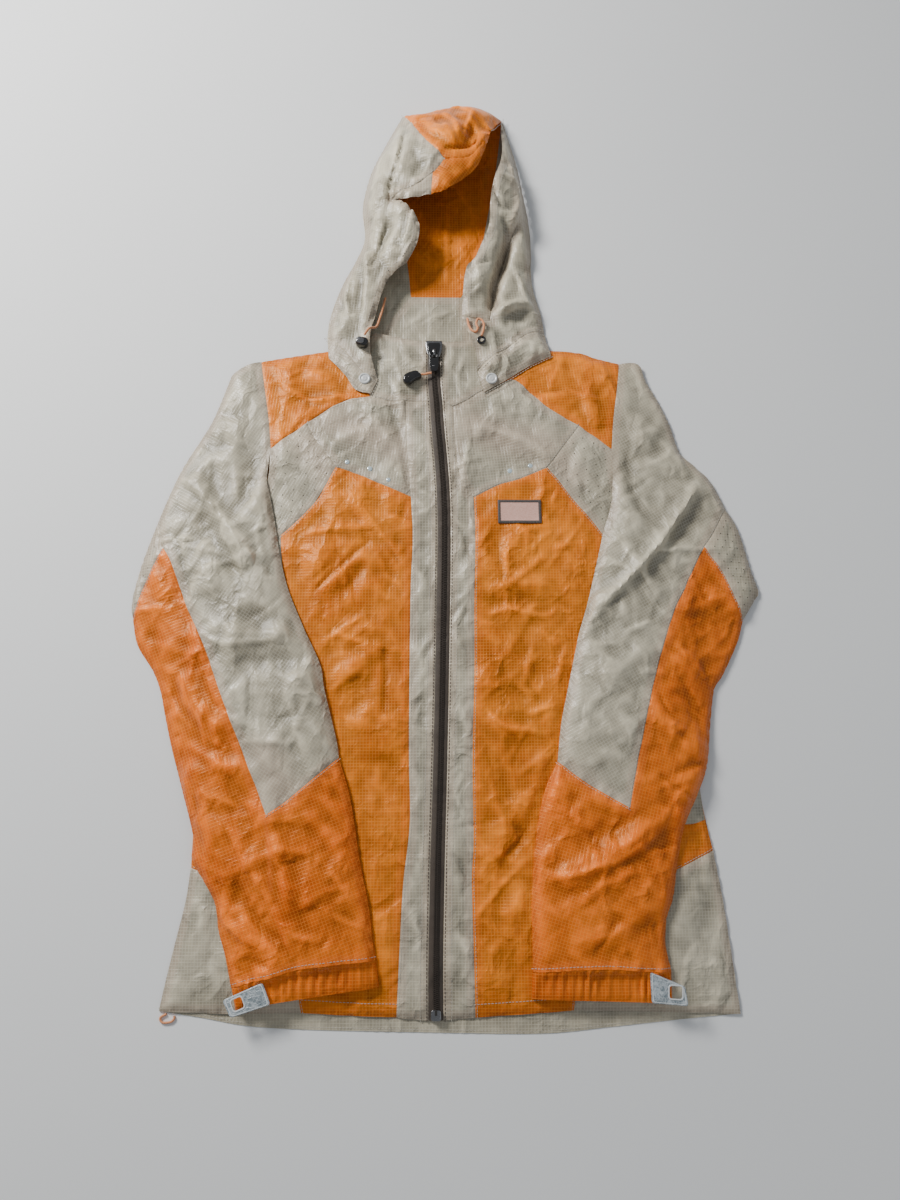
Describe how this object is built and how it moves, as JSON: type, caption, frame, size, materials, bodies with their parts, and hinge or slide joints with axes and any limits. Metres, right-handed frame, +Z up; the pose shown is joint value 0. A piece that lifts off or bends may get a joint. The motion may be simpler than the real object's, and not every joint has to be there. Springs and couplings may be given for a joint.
{
  "type": "hooded windbreaker",
  "caption": "Light hooded windbreaker lying zipped on its back, sleeves folded down over its sides, in orange and beige.",
  "frame": {"origin": "on the flat underside of the back, under the zip line, 470 mm from the zip's hem end", "axes": "+Y along the zip towards the hood, +X to the side that the picture shows on the right, +Z up from the surface that it lies on"},
  "size_m": [0.6531, 1.0257, 0.0476],
  "materials": {
    "orange": "thin orange ripstop nylon with a soft sheen",
    "beige": "thin beige ripstop nylon with a soft sheen",
    "zip": "dark brown woven tape with plastic teeth",
    "black": "glossy black",
    "pale": "pale snap",
    "silver": "pale silver-grey moulded tab",
    "cord": "pale orange braided cord",
    "patch": "plain patch with a dark border"
  },
  "bodies": {
    "jacket": {"back_facing": "beige", "back_panel": "orange", "brim_l": "beige", "brim_r": "orange", "chest_patch": "patch", "chest_vent_l": "beige", "chest_vent_r": "beige", "collar_back": "beige", "collar_l": "beige", "collar_r": "beige", "cord_l": "cord", "cord_lock": "black", "cord_r": "cord", "crown": "orange", "cuff_l": "orange", "cuff_r": "orange", "cuff_tab_l": "silver", "cuff_tab_r": "silver", "elbow_vent_l": "beige", "elbow_vent_r": "beige", "eyelet_r": "black", "face_tunnel_r": "beige", "forearm_l": "orange", "forearm_r": "orange", "front_l": "orange", "front_r": "orange", "hem_loop": "cord", "hood_back": "orange", "hood_back_l": "beige", "hood_back_r": "beige", "hood_side_l": "beige", "hood_side_r": "beige", "neck_band_l": "beige", "neck_band_r": "beige", "placket_l": "beige", "placket_r": "beige", "shoulder_l": "orange", "shoulder_r": "orange", "side_lower_l": "beige", "side_lower_r": "beige", "side_upper_l": "beige", "side_upper_r": "beige", "sleeve_l": "beige", "sleeve_r": "beige", "sleeve_under_l": "orange", "sleeve_under_r": "orange", "slider": "black", "snap_l": "pale", "snap_r": "pale", "yoke_l": "beige", "yoke_r": "beige", "zip_box": "black", "zip_tape": "zip"},
    "puller": {"pull_tab": "black", "pull_cord": "cord", "toggle": "black"}
  },
  "joints": [
    {"name": "pull_tab_hinge", "type": "hinge", "parent": "jacket", "child": "puller", "pos_m": [0, 0.212, 0.0159], "axis": [-1, 0, 0], "range_deg": [0, 150]}
  ]
}
